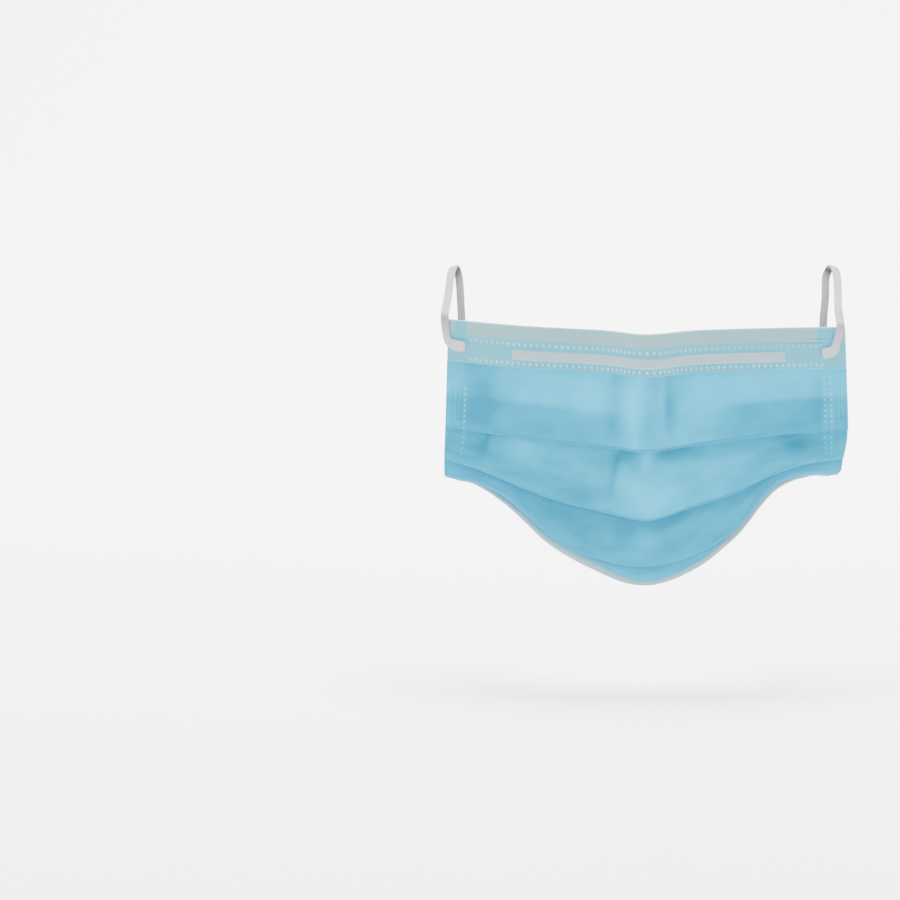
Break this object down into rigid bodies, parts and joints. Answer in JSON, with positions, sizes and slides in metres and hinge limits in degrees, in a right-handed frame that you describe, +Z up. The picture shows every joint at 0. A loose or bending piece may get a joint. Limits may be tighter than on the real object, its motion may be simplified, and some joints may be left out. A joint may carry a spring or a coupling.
{
  "type": "surgical face mask",
  "caption": "Pleated surgical face mask opened as worn, with a wide strip along the top edge, a flat shaping wire under it and a thin elastic ear loop at each side.",
  "frame": {"origin": "inner face of the nose crest, in the middle of the mask, at the height of the nose wire's centre line", "axes": "+Z up as worn, +Y towards the wearer's face, -Y out of the mask, +X to the right as seen by someone who faces the wearer"},
  "size_m": [0.1608, 0.1103, 0.1152],
  "materials": {
    "filter_sheet": "matt nonwoven, light blue",
    "lining_sheet": "matt nonwoven, white",
    "wire": "matt, pale grey",
    "elastic": "fine knit, white"
  },
  "bodies": {
    "root": {"filter_panel": "filter_sheet", "top_binding": "lining_sheet", "bottom_binding": "lining_sheet", "nose_wire": "wire", "ear_loop_left": "elastic", "ear_loop_right": "elastic"}
  },
  "joints": []
}
